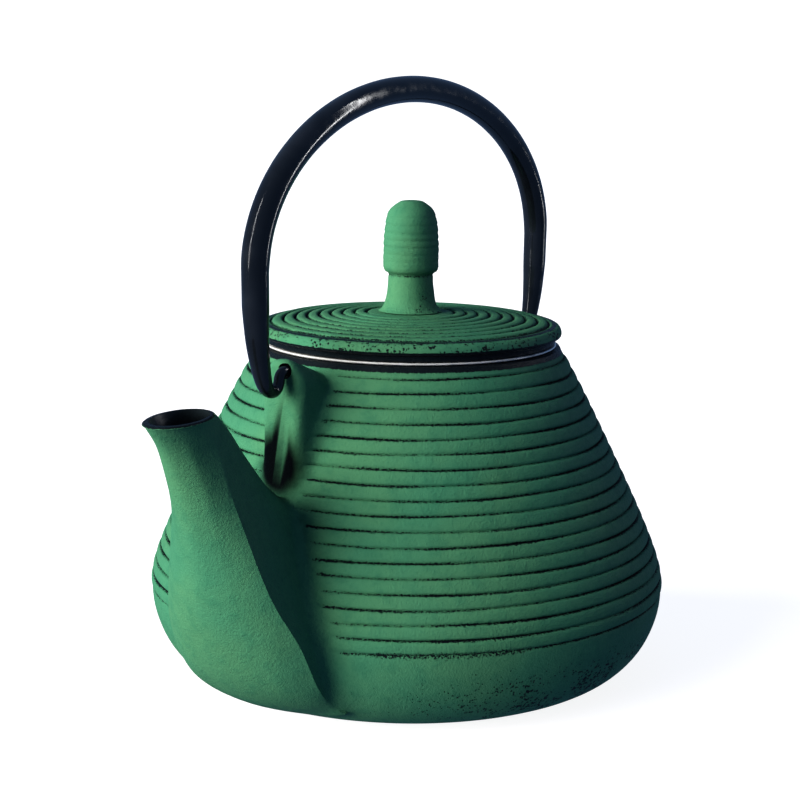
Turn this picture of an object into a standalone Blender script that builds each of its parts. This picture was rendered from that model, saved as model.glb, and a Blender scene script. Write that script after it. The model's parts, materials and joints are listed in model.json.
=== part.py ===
"""Cast-iron teapot with a swinging bail handle, a lift-off lid and a steel infuser.

Metres, +Z up. The origin is the centre of the flat base. The spout points along -X
and the bail swings about an axis along X through the two lugs.
"""
import math

import bmesh
import bpy
from mathutils import Vector

COLLECTION_NAME = "cast_iron_teapot"
CUTTER_COLLECTION_NAME = "cutters"

# Fineness of the turned pieces
ROUND_STEPS = 48
SMALL_STEPS = 24
RUN_STEPS = 2
MERGE = 0.00001
GAP = 0.0003

# Pot body
BELLY_R = 0.0830
BELLY_Z = 0.0295
BASE_R = 0.0585
RIM_Z = 0.1070
RIM_R = 0.0476
SHOULDER_R = 0.0488
SHOULDER_Z = 0.1055
WALL = 0.0045
FLOOR_THICKNESS = 0.0045
MOUTH_R = 0.0390
MOUTH_LIP_Z = 0.1030

# Lugs and the holes that the bail hooks into
HINGE_Z = 0.1067
LUG_FACE_X = 0.0665
LUG_WIDTH = 0.0146
LUG_TOP_Z = 0.1108
LUG_FOOT_Z = 0.0640
LUG_ROOT_X = 0.0455
LUG_RISE = 0.0083
LUG_TOP_STEPS = 11
BEVEL_ANGLE = math.radians(40)
LUG_EDGE = 0.0010
HOLE_R = 0.0022
HOLE_DEPTH = 0.0062

# Spout: height, back, widest, front, half width, front half width, back half width
SPOUT_STATIONS = (
    (0.0993, 0.1030, 0.1142, 0.1258, 0.0085, 0.0060, 0.0060),
    (0.0972, 0.1003, 0.1122, 0.1243, 0.0082, 0.0058, 0.0058),
    (0.0920, 0.0945, 0.1080, 0.1205, 0.0085, 0.0060, 0.0058),
    (0.0840, 0.0862, 0.1060, 0.1160, 0.0097, 0.0064, 0.0060),
    (0.0750, 0.0775, 0.1040, 0.1122, 0.0113, 0.0068, 0.0064),
    (0.0660, 0.0670, 0.1018, 0.1095, 0.0136, 0.0074, 0.0080),
    (0.0550, 0.0640, 0.0993, 0.1070, 0.0166, 0.0088, 0.0110),
    (0.0450, 0.0640, 0.0963, 0.1047, 0.0198, 0.0108, 0.0140),
    (0.0330, 0.0640, 0.0908, 0.1003, 0.0241, 0.0140, 0.0175),
    (0.0200, 0.0640, 0.0843, 0.0933, 0.0253, 0.0155, 0.0190),
    (0.0110, 0.0580, 0.0752, 0.0848, 0.0240, 0.0150, 0.0180),
    (0.0055, 0.0500, 0.0640, 0.0740, 0.0200, 0.0120, 0.0140),
    (0.0018, 0.0450, 0.0530, 0.0600, 0.0140, 0.0090, 0.0100),
)
BORE_STATIONS = (
    (0.1060, 0.1050, 0.1144, 0.1240, 0.0068, 0.0049, 0.0049),
    (0.0990, 0.1042, 0.1136, 0.1230, 0.0066, 0.0047, 0.0047),
    (0.0920, 0.0985, 0.1082, 0.1170, 0.0057, 0.0043, 0.0042),
    (0.0840, 0.0908, 0.1042, 0.1122, 0.0064, 0.0044, 0.0040),
    (0.0750, 0.0825, 0.1013, 0.1085, 0.0078, 0.0046, 0.0042),
    (0.0660, 0.0745, 0.0985, 0.1056, 0.0095, 0.0052, 0.0054),
    (0.0570, 0.0640, 0.0950, 0.1031, 0.0113, 0.0060, 0.0064),
    (0.0480, 0.0620, 0.0920, 0.1008, 0.0125, 0.0070, 0.0072),
    (0.0400, 0.0620, 0.0890, 0.0972, 0.0125, 0.0070, 0.0072),
)
CORNER = 0.293
# Rise of the mouth's rim towards the pot, and the height where it begins
MOUTH_TILT = 0.070
MOUTH_TILT_Z = 0.0840

# Lid
LID_REST_Z = 0.1082
LID_EDGE_R = 0.0487
LID_EDGE_Z = 0.1110
LID_RIM_TOP_Z = 0.1139
LID_CROWN_Z = 0.1173
LID_BAND_R = 0.0466
SKIRT_R = 0.0368
SKIRT_INNER_R = 0.0338
SKIRT_Z = 0.1018
LID_UNDER_Z = 0.1125
LID_SEAT_R = 0.0106

# Knob, its screw and washer
KNOB_BASE_Z = LID_CROWN_Z + GAP
KNOB_FOOT_R = 0.0102
KNOB_STEM_R = 0.0072
KNOB_CAP_R = 0.00885
KNOB_CAP_Z = 0.1300
KNOB_TOP_Z = 0.1529
SCREW_R = 0.0018
SCREW_HOLE_R = 0.0021
SCREW_TOP_Z = 0.1290
SCREW_HEAD_R = 0.0038
SCREW_HEAD_HEIGHT = 0.0024
WASHER_R = 0.0055
WASHER_THICKNESS = 0.0008

# Bail handle: one tapered steel bar, bent into a hook at each end
BAIL_R = 0.00415
BAIL_HALF_WIDTH = 0.0805
BAIL_WIDEST_H = 0.0300
BAIL_TOP_H = 0.0810
BAIL_ARCH_STEPS = 26
# Distance from the axis of the pot, height above the hinge, thickness as a share of the bar's
HOOK_POINTS = (
    (0.0615, 0.0000, 0.34),
    (0.0640, 0.0000, 0.34),
    (0.0672, -0.0002, 0.34),
    (0.0688, -0.0012, 0.34),
    (0.0693, -0.0030, 0.35),
    (0.0701, -0.0046, 0.37),
    (0.0718, -0.0055, 0.42),
    (0.0740, -0.0050, 0.48),
    (0.0760, -0.0030, 0.56),
    (0.0774, 0.0005, 0.65),
    (0.0788, 0.0060, 0.75),
    (0.0797, 0.0120, 0.85),
    (0.0803, 0.0200, 0.94),
)

# Infuser
FLANGE_R = 0.0470
FLANGE_Z = RIM_Z + GAP
SHEET = 0.0006
COLLAR_R = 0.0382
COLLAR_FOOT_Z = 0.0960
MESH_SHEET = 0.0005
MESH_TOP_Z = 0.1004
MESH_TOP_R = 0.0373
MESH_FOOT_Z = 0.0513
MESH_FOOT_R = 0.0350
BASE_RING_R = 0.0359
BASE_RING_TOP_Z = 0.0565
BASE_RING_FOOT_Z = 0.0496
BASE_RING_LIP_R = 0.0300
FLOOR_DISC_R = 0.0348


def clear_scene():
    """Remove every object that the scene starts with."""
    for obj in list(bpy.data.objects):
        bpy.data.objects.remove(obj, do_unlink=True)


def make_collection(name):
    """Make a collection in the scene."""
    collection = bpy.data.collections.new(name)
    bpy.context.scene.collection.children.link(collection)
    return collection


def make_material(name, color, roughness, metallic):
    """Make a Principled material."""
    material = bpy.data.materials.new(name)
    material.use_nodes = True
    shader = material.node_tree.nodes["Principled BSDF"]
    shader.inputs["Base Color"].default_value = (*color, 1.0)
    shader.inputs["Roughness"].default_value = roughness
    shader.inputs["Metallic"].default_value = metallic
    return material


def add_object(name, data, collection, material=None, location=(0, 0, 0)):
    """Put mesh or curve data into the scene as a named object."""
    obj = bpy.data.objects.new(name, data)
    obj.location = location
    collection.objects.link(obj)
    if material is not None:
        data.materials.append(material)
    return obj


def make_cutter(obj):
    """Show an object as a wire and keep it out of the finished model."""
    obj.hide_render = True
    obj.display_type = "WIRE"
    return obj


def smooth_run(points, steps=RUN_STEPS, closed=False):
    """Points along a smooth curve through the given points."""
    count = len(points)
    spans = count if closed else count - 1
    run = []
    for index in range(spans):
        if closed:
            picks = [points[(index + shift) % count] for shift in (-1, 0, 1, 2)]
        else:
            picks = [points[min(max(index + shift, 0), count - 1)] for shift in (-1, 0, 1, 2)]
        before, start, end, after = [Vector(pick) for pick in picks]
        for step in range(steps):
            t = step / steps
            run.append(tuple(0.5 * (2 * start + (end - before) * t
                                    + (2 * before - 5 * start + 4 * end - after) * t ** 2
                                    + (3 * start - before - 3 * end + after) * t ** 3)))
    if not closed:
        run.append(tuple(points[-1]))
    return run


def turned(name, profile, collection, material=None, closed=False, steps=ROUND_STEPS):
    """Turn a profile of (radius, height) points about the Z axis."""
    mesh = bpy.data.meshes.new(name)
    vertices = [(radius, 0, height) for radius, height in profile]
    edges = [(index, index + 1) for index in range(len(vertices) - 1)]
    if closed:
        edges.append((len(vertices) - 1, 0))
    mesh.from_pydata(vertices, edges, [])
    obj = add_object(name, mesh, collection, material)
    screw = obj.modifiers.new("Turn", "SCREW")
    screw.steps = steps
    screw.render_steps = steps
    screw.use_merge_vertices = True
    screw.merge_threshold = MERGE
    screw.use_smooth_shade = True
    return obj


def boolean(obj, other, operation):
    """Join or cut one object with another."""
    modifier = obj.modifiers.new(operation.title() + " " + other.name, "BOOLEAN")
    modifier.operation = operation
    modifier.object = other
    modifier.solver = "EXACT"


def section_ring(station):
    """One closed ring of the spout, with soft corners. Near the mouth it rises to the pot."""
    height, back, widest, front, half, front_half, back_half = station
    front_corner = front - CORNER * (front - widest)
    back_corner = back + CORNER * (widest - back)
    corners = [
        (front, 0), (front_corner, front_half), (widest, half), (back_corner, back_half),
        (back, 0), (back_corner, -back_half), (widest, -half), (front_corner, -front_half),
    ]
    mouth = SPOUT_STATIONS[0]
    share = min(max((height - MOUTH_TILT_Z) / (mouth[0] - MOUTH_TILT_Z), 0), 1)
    slope = MOUTH_TILT * share * share * (3 - 2 * share)
    run = smooth_run(corners, steps=3, closed=True)
    return [(-reach, side, height + slope * (mouth[3] - reach)) for reach, side in run]


def loft(name, stations, collection):
    """Skin a stack of unlike rings and close both ends."""
    rings = [section_ring(station) for station in smooth_run(stations)]
    mesh_data = bmesh.new()
    rows = [[mesh_data.verts.new(point) for point in ring] for ring in rings]
    count = len(rows[0])
    for upper, lower in zip(rows, rows[1:]):
        for index in range(count):
            following = (index + 1) % count
            mesh_data.faces.new((upper[index], upper[following], lower[following], lower[index]))
    mesh_data.faces.new(rows[0])
    mesh_data.faces.new(rows[-1])
    bmesh.ops.recalc_face_normals(mesh_data, faces=mesh_data.faces)
    mesh = bpy.data.meshes.new(name)
    mesh_data.to_mesh(mesh)
    mesh_data.free()
    mesh.shade_smooth()
    return make_cutter(add_object(name, mesh, collection))


def pot_profile():
    """Outer outline of the pot, from the middle of the mouth to the middle of the base."""
    cone_and_belly = [
        (SHOULDER_R, SHOULDER_Z), (0.0562, 0.0920), (0.0658, 0.0730), (0.0750, 0.0540),
        (0.0812, 0.0390), (BELLY_R, BELLY_Z), (0.0818, 0.0205), (0.0775, 0.0115),
        (0.0700, 0.0045), (BASE_R, 0.0),
    ]
    rim = [(0.0, RIM_Z), (RIM_R, RIM_Z), (RIM_R + 0.0008, RIM_Z - 0.0004)]
    return rim + smooth_run(cone_and_belly) + [(0.0, 0.0)]


def cavity_profile():
    """Outline of the hollow inside the pot, from above the mouth to the floor."""
    inner_wall = [
        (0.0455, 0.0985), (0.0612, 0.0710), (0.0703, 0.0520), (0.0765, 0.0380),
        (BELLY_R - WALL, BELLY_Z), (0.0770, 0.0195), (0.0710, 0.0100),
        (0.0590, FLOOR_THICKNESS),
    ]
    neck = [(0.0, LID_CROWN_Z), (MOUTH_R, LID_CROWN_Z), (MOUTH_R, MOUTH_LIP_Z)]
    return neck + smooth_run(inner_wall) + [(0.0, FLOOR_THICKNESS)]


def lug_block(name, side, collection):
    """An ear with a round top, which rises outwards from the shoulder and runs into the cone."""
    half = LUG_WIDTH / 2
    outline = [(half, LUG_FOOT_Z)]
    for step in range(LUG_TOP_STEPS + 1):
        angle = math.pi * step / LUG_TOP_STEPS
        outline.append((half * math.cos(angle), LUG_TOP_Z - half + half * math.sin(angle)))
    outline.append((-half, LUG_FOOT_Z))
    mesh_data = bmesh.new()
    face = [mesh_data.verts.new((side * LUG_FACE_X, y, z)) for y, z in outline]
    root = [mesh_data.verts.new((side * LUG_ROOT_X, y, z - LUG_RISE)) for y, z in outline]
    for index in range(len(outline)):
        following = (index + 1) % len(outline)
        mesh_data.faces.new((face[index], face[following], root[following], root[index]))
    mesh_data.faces.new(face)
    mesh_data.faces.new(root)
    bmesh.ops.recalc_face_normals(mesh_data, faces=mesh_data.faces)
    mesh = bpy.data.meshes.new(name)
    mesh_data.to_mesh(mesh)
    mesh_data.free()
    obj = make_cutter(add_object(name, mesh, collection))
    bevel = obj.modifiers.new("Round edges", "BEVEL")
    bevel.width = LUG_EDGE
    bevel.segments = 2
    bevel.limit_method = "ANGLE"
    bevel.angle_limit = BEVEL_ANGLE
    return obj


def lug_hole(name, side, collection):
    """A blind round hole in the lug's outer face, along the hinge axis."""
    middle = LUG_FACE_X - HOLE_DEPTH / 2 + GAP
    mesh_data = bmesh.new()
    bmesh.ops.create_cone(mesh_data, cap_ends=True, segments=SMALL_STEPS, radius1=HOLE_R,
                          radius2=HOLE_R, depth=HOLE_DEPTH + 2 * GAP)
    mesh = bpy.data.meshes.new(name)
    mesh_data.to_mesh(mesh)
    mesh_data.free()
    obj = make_cutter(add_object(name, mesh, collection, location=(side * middle, 0, HINGE_Z)))
    obj.rotation_euler = (0, math.pi / 2, 0)
    return obj


def make_pot_body(parts, cutters, material):
    """One casting: the bowl, the spout and the two lugs."""
    body = turned("pot_body", pot_profile(), parts, material)
    joined = [loft("spout_outside", SPOUT_STATIONS, cutters)]
    for side, label in ((-1, "front"), (1, "rear")):
        joined.append(lug_block("lug_" + label, side, cutters))
    for other in joined:
        boolean(body, other, "UNION")
    cuts = [
        make_cutter(turned("pot_hollow", cavity_profile(), cutters)),
        loft("spout_bore", BORE_STATIONS, cutters),
    ]
    for side, label in ((-1, "front"), (1, "rear")):
        cuts.append(lug_hole("hinge_hole_" + label, side, cutters))
    for other in cuts:
        boolean(body, other, "DIFFERENCE")


def make_lid(parts, material):
    """Shallow domed lid with a skirt that drops into the infuser."""
    dome = [(LID_SEAT_R, LID_CROWN_Z), (0.0300, 0.1160), (0.0468, LID_RIM_TOP_Z)]
    edge = [(0.0484, 0.1128), (LID_EDGE_R, LID_EDGE_Z), (0.0478, 0.1103), (LID_BAND_R, 0.1100)]
    underside = [
        (LID_BAND_R, LID_REST_Z), (SKIRT_R, LID_REST_Z), (SKIRT_R, SKIRT_Z),
        (SKIRT_INNER_R, SKIRT_Z), (SKIRT_INNER_R, LID_UNDER_Z - 0.0020),
        (SKIRT_INNER_R - 0.0040, LID_UNDER_Z), (SCREW_HOLE_R, LID_UNDER_Z),
        (SCREW_HOLE_R, LID_CROWN_Z),
    ]
    turned("lid", smooth_run(dome, 3) + edge + underside, parts, material, closed=True)


def make_knob(parts, material):
    """Tall domed knob on a waisted stem, drilled from below for its screw."""
    top = [(0.0, KNOB_TOP_Z), (0.0040, KNOB_TOP_Z - 0.0005), (0.0070, KNOB_TOP_Z - 0.0030),
           (0.0083, KNOB_TOP_Z - 0.0070), (KNOB_CAP_R, KNOB_TOP_Z - 0.0130),
           (KNOB_CAP_R, KNOB_CAP_Z + 0.0012)]
    neck = [(KNOB_CAP_R - 0.0012, KNOB_CAP_Z), (KNOB_STEM_R, KNOB_CAP_Z - 0.0006)]
    stem = [(KNOB_STEM_R, KNOB_CAP_Z - 0.0030), (0.0078, 0.1220), (0.0088, 0.1188),
            (KNOB_FOOT_R, KNOB_BASE_Z)]
    bore = [(SCREW_HOLE_R, KNOB_BASE_Z), (SCREW_HOLE_R, SCREW_TOP_Z + GAP), (0.0, SCREW_TOP_Z + GAP)]
    profile = smooth_run(top) + neck + smooth_run(stem) + bore
    turned("lid_knob", profile, parts, material, steps=SMALL_STEPS + 8)


def make_knob_fixings(parts, material):
    """The screw that holds the knob from inside the lid, and its washer."""
    washer_top = LID_UNDER_Z - GAP
    washer_foot = washer_top - WASHER_THICKNESS
    washer = [(WASHER_R, washer_top), (WASHER_R, washer_foot), (SCREW_HOLE_R, washer_foot),
              (SCREW_HOLE_R, washer_top)]
    turned("knob_washer", washer, parts, material, closed=True, steps=SMALL_STEPS)
    head_top = washer_foot - GAP
    head_foot = head_top - SCREW_HEAD_HEIGHT
    screw = [(0.0, SCREW_TOP_Z), (SCREW_R - 0.0004, SCREW_TOP_Z), (SCREW_R, SCREW_TOP_Z - 0.0006),
             (SCREW_R, head_top), (SCREW_HEAD_R, head_top), (SCREW_HEAD_R, head_foot + 0.0010),
             (SCREW_HEAD_R - 0.0010, head_foot), (0.0, head_foot)]
    turned("knob_screw", screw, parts, material, steps=SMALL_STEPS)


def bail_route():
    """Centre line of the bail from one hook to the other: distance, height, thickness share."""
    rise = BAIL_TOP_H - BAIL_WIDEST_H
    hook = smooth_run(HOOK_POINTS)
    arch = []
    for step in range(BAIL_ARCH_STEPS + 1):
        angle = math.pi * step / BAIL_ARCH_STEPS
        arch.append((BAIL_HALF_WIDTH * math.cos(angle), BAIL_WIDEST_H + rise * math.sin(angle), 1.0))
    other_hook = [(-reach, height, share) for reach, height, share in reversed(hook)]
    return hook + arch + other_hook


def make_bail(parts, material):
    """Tapered round bail, with its origin on the hinge axis."""
    curve = bpy.data.curves.new("bail_handle", "CURVE")
    curve.dimensions = "3D"
    curve.bevel_depth = BAIL_R
    curve.bevel_resolution = 4
    curve.use_fill_caps = True
    route = bail_route()
    spline = curve.splines.new("POLY")
    spline.points.add(len(route) - 1)
    spline.use_smooth = True
    for point, (reach, height, share) in zip(spline.points, route):
        point.co = (reach, 0, height, 1)
        point.radius = share
    add_object("bail_handle", curve, parts, material, location=(0, 0, HINGE_Z))


def make_infuser(parts, steel, mesh_steel):
    """Drop-in basket: flanged collar, mesh wall, base ring and mesh floor."""
    flange_top = FLANGE_Z + SHEET
    collar_inner = COLLAR_R - SHEET
    collar = [(collar_inner, flange_top), (FLANGE_R, flange_top), (FLANGE_R, FLANGE_Z),
              (COLLAR_R, FLANGE_Z), (COLLAR_R, COLLAR_FOOT_Z), (collar_inner, COLLAR_FOOT_Z)]
    turned("infuser_collar", collar, parts, steel, closed=True)
    wall = [(MESH_TOP_R, MESH_TOP_Z), (MESH_TOP_R, COLLAR_FOOT_Z - 0.0006), (MESH_FOOT_R, MESH_FOOT_Z),
            (MESH_FOOT_R - MESH_SHEET, MESH_FOOT_Z),
            (MESH_TOP_R - MESH_SHEET, COLLAR_FOOT_Z - 0.0006), (MESH_TOP_R - MESH_SHEET, MESH_TOP_Z)]
    turned("infuser_wall", wall, parts, mesh_steel, closed=True)
    ring_inner = BASE_RING_R - SHEET / 2
    ring = [(BASE_RING_R, BASE_RING_TOP_Z), (BASE_RING_R, BASE_RING_FOOT_Z),
            (BASE_RING_LIP_R, BASE_RING_FOOT_Z), (BASE_RING_LIP_R, BASE_RING_FOOT_Z + SHEET),
            (ring_inner, BASE_RING_FOOT_Z + SHEET), (ring_inner, BASE_RING_TOP_Z)]
    turned("infuser_base_ring", ring, parts, steel, closed=True)
    disc_foot = BASE_RING_FOOT_Z + SHEET + GAP
    disc = [(0.0, disc_foot + MESH_SHEET), (FLOOR_DISC_R, disc_foot + MESH_SHEET),
            (FLOOR_DISC_R, disc_foot), (0.0, disc_foot)]
    turned("infuser_floor", disc, parts, mesh_steel)


def build():
    """Build the whole teapot."""
    clear_scene()
    parts = make_collection(COLLECTION_NAME)
    cutters = make_collection(CUTTER_COLLECTION_NAME)
    green_iron = make_material("green_iron", (0.075, 0.240, 0.120), 0.62, 0.0)
    green_lid = make_material("green_lid", (0.070, 0.225, 0.115), 0.60, 0.0)
    green_knob = make_material("green_knob", (0.085, 0.250, 0.125), 0.62, 0.0)
    black_enamel = make_material("black_enamel", (0.012, 0.012, 0.015), 0.18, 0.0)
    steel = make_material("stainless_steel", (0.62, 0.62, 0.62), 0.25, 1.0)
    mesh_steel = make_material("steel_mesh", (0.50, 0.50, 0.50), 0.40, 1.0)
    make_pot_body(parts, cutters, green_iron)
    make_lid(parts, green_lid)
    make_knob(parts, green_knob)
    make_knob_fixings(parts, steel)
    make_bail(parts, black_enamel)
    make_infuser(parts, steel, mesh_steel)


build()
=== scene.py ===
"""Looks of a green cast-iron teapot with a black bail, a ribbed lid and a steel infuser.

Metres, +Z up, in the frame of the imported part. The origin is the centre of the flat
base, the spout points along -X, and the bail swings about an axis along X.
"""
import json
import math

import bmesh
import bpy
import numpy as np
from mathutils import Matrix, Vector


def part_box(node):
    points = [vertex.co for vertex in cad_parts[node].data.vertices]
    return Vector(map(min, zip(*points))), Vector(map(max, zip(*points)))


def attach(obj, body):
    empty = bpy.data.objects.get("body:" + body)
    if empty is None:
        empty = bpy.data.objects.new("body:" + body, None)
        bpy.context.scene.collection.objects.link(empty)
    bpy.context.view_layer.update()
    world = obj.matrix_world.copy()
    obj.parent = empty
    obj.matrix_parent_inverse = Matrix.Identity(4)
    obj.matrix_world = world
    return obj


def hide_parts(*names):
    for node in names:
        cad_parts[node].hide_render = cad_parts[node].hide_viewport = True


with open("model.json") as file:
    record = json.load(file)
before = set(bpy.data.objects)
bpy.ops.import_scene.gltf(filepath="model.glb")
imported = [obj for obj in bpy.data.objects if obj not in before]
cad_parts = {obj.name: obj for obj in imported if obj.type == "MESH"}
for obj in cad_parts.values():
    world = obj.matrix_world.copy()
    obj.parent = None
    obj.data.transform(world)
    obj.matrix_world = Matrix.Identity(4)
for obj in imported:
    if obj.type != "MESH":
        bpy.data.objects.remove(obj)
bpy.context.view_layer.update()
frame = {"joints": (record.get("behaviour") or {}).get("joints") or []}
MM = 0.001

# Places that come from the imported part
POT_LOW, POT_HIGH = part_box("pot_body")
LID_LOW, LID_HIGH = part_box("lid")
KNOB_LOW, KNOB_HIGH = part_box("lid_knob")
COLLAR_LOW, COLLAR_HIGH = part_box("infuser_collar")
WALL_LOW, WALL_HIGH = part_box("infuser_wall")
RING_LOW, RING_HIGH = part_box("infuser_base_ring")
FLOOR_LOW, FLOOR_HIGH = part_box("infuser_floor")
SCREW_LOW, SCREW_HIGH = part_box("knob_screw")
WASHER_LOW, WASHER_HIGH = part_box("knob_washer")
HINGE_Z = next(j for j in frame["joints"] if j["name"] == "handle_swing")["pos_m"][2]

# Turned outlines start and end this far from the axis, where a flat cap closes them
AXIS_R = 0.0008

# Pot: outline, shoulder and rim, as (radius, height)
BELLY_R = POT_HIGH.y
SHOULDER_R = 0.0488
SHOULDER_Z = 0.1055
RIM_R = 0.0476
RIM_Z = 0.1070
BASE_R = 0.0585
WALL = 0.0045
FLOOR_THICKNESS = 0.0045
MOUTH_R = 0.0390
MOUTH_LIP_Z = 0.1030
RIM_OUTLINE = ((AXIS_R, RIM_Z), (RIM_R, RIM_Z), (RIM_R + 0.0006, RIM_Z - 0.0002),
               (RIM_R + 0.0009, RIM_Z - 0.0007))
NECK_OUTLINE = ((AXIS_R, RIM_Z + 0.004), (MOUTH_R + 0.0007, RIM_Z + 0.004),
                (MOUTH_R + 0.0007, RIM_Z), (MOUTH_R + 0.0002, RIM_Z - 0.0004),
                (MOUTH_R, RIM_Z - 0.0010), (MOUTH_R, MOUTH_LIP_Z))
CONE_AND_BELLY = (
    (SHOULDER_R, SHOULDER_Z), (0.0562, 0.0920), (0.0658, 0.0730), (0.0750, 0.0540),
    (0.0812, 0.0390), (BELLY_R, 0.0295), (0.0818, 0.0205), (0.0775, 0.0115),
    (0.0700, 0.0045), (BASE_R, 0.0),
)
INNER_WALL = (
    (0.0455, 0.0985), (0.0612, 0.0710), (0.0703, 0.0520), (0.0765, 0.0380),
    (BELLY_R - WALL, 0.0295), (0.0770, 0.0195), (0.0710, 0.0100),
    (0.0590, FLOOR_THICKNESS),
)
SHOULDER_ROWS = (SHOULDER_Z, 0.1051, 0.1047)
BASE_ROWS = 24
POT_SEGMENTS = 400
CAVITY_SEGMENTS = 128

# Grooves round the pot. The rows are heights about each groove, in mm
GROOVES = 19
GROOVE_TOP_Z = 0.1037
GROOVE_PITCH = 0.00413
GROOVE_DEPTH = 0.00060
GROOVE_HALF = 0.00034
BAND_BULGE = 0.00048
GROOVE_ROWS = (0.75, 0.45, 0.2, 0.0, -0.2, -0.45, -0.75, -1.3, -2.07, -2.8)
# A groove sets in over these angles past the spout's root, and these distances past a lug's side
GROOVE_START = (math.radians(0.3), math.radians(2.2))
GROOVE_LUG_START = (-0.0004, 0.0014)
GROOVE_LUG_Z = 0.069

# Lugs: an ear with a round top, whose foot and root lie inside the pot
LUG_FACE_X = 0.0665
LUG_HALF = 0.0075
LUG_TOP_Z = 0.1108
LUG_FOOT_Z = 0.0620
LUG_ROOT_X = 0.0455
LUG_RISE = 0.0083
LUG_OFFSET = 0.0016
LUG_SWELL_TOP_Z = 0.1030
LUG_SWELL_FULL_Z = 0.0920
LUG_SWELL_LOW_Z = (0.0660, 0.0720)
LUG_LEAST_STAND = 0.0004
LUG_CORNER = 0.0030
LUG_FILLET = 0.0042
HOLE_R = 0.0022
HOLE_DEPTH = 0.0062
HOLE_FLARE_R = HOLE_R * 1.1
HOLE_SEGMENTS = 32

# Middle and reach of the painted shade in the hollow between the front lug and the spout, where
# the green is darkened to near black
HOLLOW_SHADE_CENTRE = (-0.0695, 0.0030, 0.0782)
HOLLOW_SHADE_REACH = (0.0100, 0.0092, 0.0100)

# Spout: height, back, widest, front, half width, front half width, back half width
SPOUT_STATIONS = (
    (0.0993, 0.1030, 0.1142, 0.1258, 0.0085, 0.0060, 0.0060),
    (0.0972, 0.1003, 0.1122, 0.1243, 0.0082, 0.0058, 0.0058),
    (0.0920, 0.0945, 0.1080, 0.1205, 0.0085, 0.0060, 0.0058),
    (0.0840, 0.0862, 0.1060, 0.1160, 0.0097, 0.0064, 0.0060),
    (0.0750, 0.0775, 0.1040, 0.1122, 0.0113, 0.0068, 0.0064),
    (0.0660, 0.0670, 0.1018, 0.1095, 0.0136, 0.0074, 0.0080),
    (0.0550, 0.0640, 0.0993, 0.1070, 0.0166, 0.0088, 0.0110),
    (0.0450, 0.0640, 0.0963, 0.1047, 0.0198, 0.0108, 0.0140),
    (0.0330, 0.0640, 0.0908, 0.1003, 0.0241, 0.0140, 0.0175),
    (0.0200, 0.0640, 0.0843, 0.0933, 0.0253, 0.0155, 0.0190),
    (0.0110, 0.0580, 0.0752, 0.0848, 0.0240, 0.0150, 0.0180),
    (0.0055, 0.0500, 0.0640, 0.0740, 0.0200, 0.0120, 0.0140),
    (0.0018, 0.0450, 0.0530, 0.0600, 0.0140, 0.0090, 0.0100),
)
BORE_STATIONS = (
    (0.1060, 0.1050, 0.1144, 0.1240, 0.0068, 0.0049, 0.0049),
    (0.0990, 0.1042, 0.1136, 0.1230, 0.0066, 0.0047, 0.0047),
    (0.0920, 0.0985, 0.1082, 0.1170, 0.0057, 0.0043, 0.0042),
    (0.0840, 0.0908, 0.1042, 0.1122, 0.0064, 0.0044, 0.0040),
    (0.0750, 0.0825, 0.1013, 0.1085, 0.0078, 0.0046, 0.0042),
    (0.0660, 0.0745, 0.0985, 0.1056, 0.0095, 0.0052, 0.0054),
    (0.0570, 0.0640, 0.0950, 0.1031, 0.0113, 0.0060, 0.0064),
    (0.0480, 0.0620, 0.0920, 0.1008, 0.0125, 0.0070, 0.0072),
    (0.0400, 0.0620, 0.0890, 0.0972, 0.0125, 0.0070, 0.0072),
)
CORNER = 0.293
MOUTH_FRONT = SPOUT_STATIONS[0][3]
POT_MOUTH_Z = SPOUT_STATIONS[0][0]
SPOUT_FILLET = 0.0045
SPOUT_LIP = 0.0006
BORE_FLARE = 0.0007
BORE_FLARE_FADE = 0.0006
MOUTH_TILT = 0.070
MOUTH_TILT_Z = 0.0840

# Faces of the pot by where they come from, and the softening where the first two meet
ADDED_TAG, CUT_TAG = 1, 2
MERGE_DISTANCE = 0.00003
SEAM_REACH = 0.0016
SEAM_RINGS = 6
SEAM_ROUNDS = 8
SEAM_BELOW_TOP = 0.006

# Lid, with outlines as (radius, height)
SCREW_HOLE_R = 0.0021
LID_SEAT_R = 0.0106
LID_CROWN_Z = LID_HIGH.z
LID_BAND_R = 0.0466
LID_DOME = ((LID_SEAT_R, LID_CROWN_Z), (0.0300, 0.1160), (LID_BAND_R, 0.1140))
LID_EDGE = ((LID_BAND_R, 0.1140), (0.0477, 0.1136), (0.0484, 0.1127), (0.0487, 0.1114),
            (0.0484, 0.1106), (0.0476, 0.1102), (0.0468, 0.1100))
LID_REST_Z = 0.1082
LID_UNDER_Z = 0.1125
SKIRT_R = 0.0368
SKIRT_INNER_R = 0.0338
SKIRT_Z = LID_LOW.z
LID_UNDERSIDE = (
    (LID_BAND_R, 0.1096), (LID_BAND_R, LID_REST_Z + 0.0003), (LID_BAND_R - 0.0003, LID_REST_Z),
    (SKIRT_R + 0.0004, LID_REST_Z), (SKIRT_R, LID_REST_Z - 0.0004),
    (SKIRT_R, SKIRT_Z + 0.0006), (SKIRT_R - 0.0006, SKIRT_Z),
    (SKIRT_INNER_R + 0.0006, SKIRT_Z), (SKIRT_INNER_R, SKIRT_Z + 0.0006),
    (SKIRT_INNER_R, LID_UNDER_Z - 0.0020), (SKIRT_INNER_R - 0.0012, LID_UNDER_Z - 0.0006),
    (SKIRT_INNER_R - 0.0040, LID_UNDER_Z), (SCREW_HOLE_R, LID_UNDER_Z),
)
LID_GROOVES = 9
LID_GROOVE_R = 0.0142
LID_GROOVE_PITCH = 0.00379
LID_GROOVE_DEPTH = 0.00068
LID_GROOVE_HALF = 0.00042
LID_GROOVE_ROWS = (-0.75, -0.45, -0.2, 0, 0.2, 0.45, 0.75, 1.2, 1.9, 2.6)
LID_FIRST_ROWS = (LID_SEAT_R, 0.0118, 0.0127)
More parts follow.
